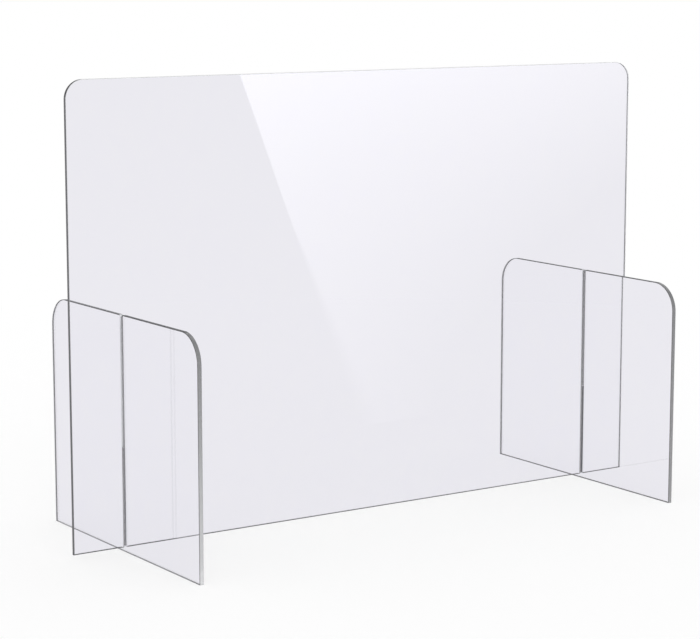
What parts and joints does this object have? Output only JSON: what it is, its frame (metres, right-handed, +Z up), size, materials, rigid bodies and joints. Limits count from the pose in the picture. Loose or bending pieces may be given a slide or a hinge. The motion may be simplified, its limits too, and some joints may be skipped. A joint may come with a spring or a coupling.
{
  "type": "bench splash shield",
  "caption": "Clear upright splash shield, slotted into crossing feet that stand on a bench or counter.",
  "frame": {"origin": "on the bench, at the middle of the shield's width and depth", "axes": "+X along the panel to its right end as seen from the front, -Y towards the viewer who looks at the front, +Z up"},
  "size_m": [0.914, 0.39, 0.61],
  "materials": {
    "clear_acrylic": "gloss"
  },
  "bodies": {
    "root": {"shield_panel": "clear_acrylic", "left_foot": "clear_acrylic", "right_foot": "clear_acrylic"}
  },
  "joints": []
}
